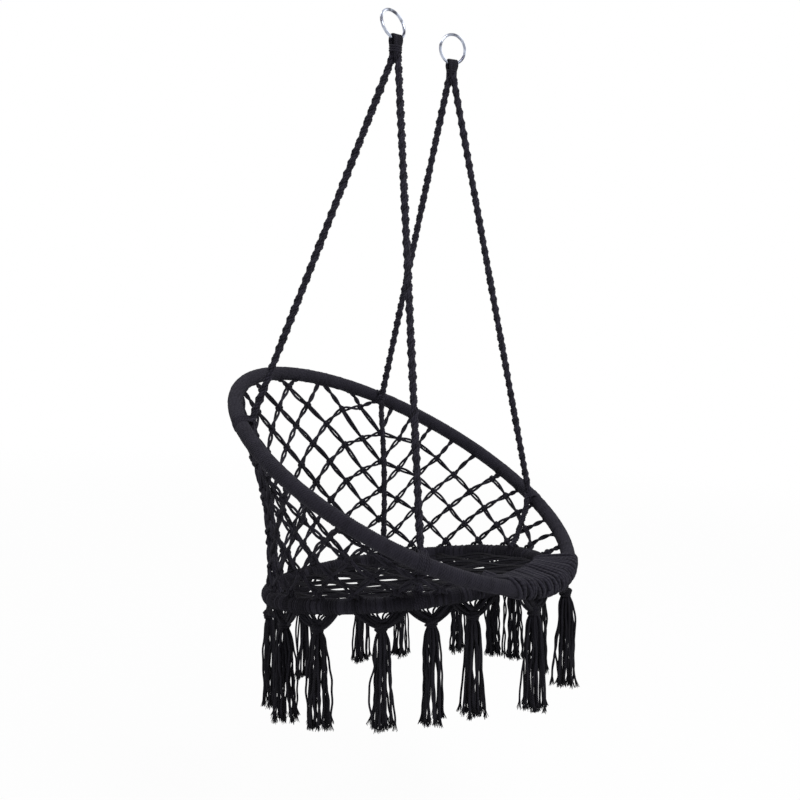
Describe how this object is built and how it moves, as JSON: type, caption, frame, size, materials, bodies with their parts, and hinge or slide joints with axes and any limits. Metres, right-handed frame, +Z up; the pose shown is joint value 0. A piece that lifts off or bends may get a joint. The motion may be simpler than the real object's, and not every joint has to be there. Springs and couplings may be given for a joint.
{
  "type": "hanging hammock chair",
  "caption": "Hanging chair of black knotted cord on a back hoop and a seat hoop, with two steel rings and tassels.",
  "frame": {"origin": "midway between the two rings, level with the inside of their tops, where the hooks carry them", "axes": "+Z up, the chair faces -Y, +X to the right when seen from in front; left and right in the names are as seen from in front"},
  "size_m": [0.7966, 0.7196, 1.4207],
  "materials": {
    "cord": "matte cotton cord",
    "steel_tube": "hidden tube",
    "chrome": "polished"
  },
  "bodies": {
    "rings": {"ring_left": "chrome", "ring_right": "chrome"},
    "back_frame": {"back_hoop_steel_tube": "steel_tube", "back_hoop_cord_wrap": "cord", "neck_left": "cord", "neck_right": "cord", "neck_binding_left": "cord", "neck_binding_right": "cord", "suspension_rope_left_back": "cord", "suspension_rope_left_front": "cord", "suspension_rope_right_back": "cord", "suspension_rope_right_front": "cord", "hoop_hitch_left_back": "cord", "hoop_hitch_left_front": "cord", "hoop_hitch_right_back": "cord", "hoop_hitch_right_front": "cord", "lower_rope_left_back": "cord", "lower_rope_left_front": "cord", "lower_rope_right_back": "cord", "lower_rope_right_front": "cord", "back_net_panel_1": "cord", "back_net_panel_2": "cord", "back_net_panel_3": "cord", "back_net_panel_4": "cord", "back_net_panel_5": "cord", "back_net_panel_6": "cord", "back_net_panel_7": "cord", "back_net_panel_8": "cord", "back_net_panel_9": "cord", "front_lashing": "cord", "front_tassel_1": "cord", "front_tassel_2": "cord"},
    "seat_frame": {"seat_hoop_steel_tube": "steel_tube", "seat_hoop_cord_wrap": "cord", "seat_net": "cord", "tassel_01": "cord", "tassel_02": "cord", "tassel_03": "cord", "tassel_04": "cord", "tassel_05": "cord", "tassel_06": "cord", "tassel_07": "cord", "tassel_08": "cord", "tassel_09": "cord", "tassel_10": "cord", "tassel_11": "cord", "tassel_12": "cord", "tassel_13": "cord", "tassel_14": "cord"}
  },
  "joints": [
    {"name": "swing", "type": "hinge", "parent": "rings", "child": "back_frame", "pos_m": [0, 0, -0.057], "axis": [1, 0, 0], "range_deg": [-20, 20]},
    {"name": "seat_fold", "type": "hinge", "parent": "back_frame", "child": "seat_frame", "pos_m": [0, -0.292, -1.083], "axis": [1, 0, 0], "range_deg": [0, 33], "deforming": ["back_net_panel_1", "back_net_panel_2", "back_net_panel_3", "back_net_panel_4", "back_net_panel_5", "back_net_panel_6", "back_net_panel_7", "back_net_panel_8", "back_net_panel_9", "lower_rope_left_back", "lower_rope_left_front", "lower_rope_right_back", "lower_rope_right_front", "front_lashing"]}
  ]
}
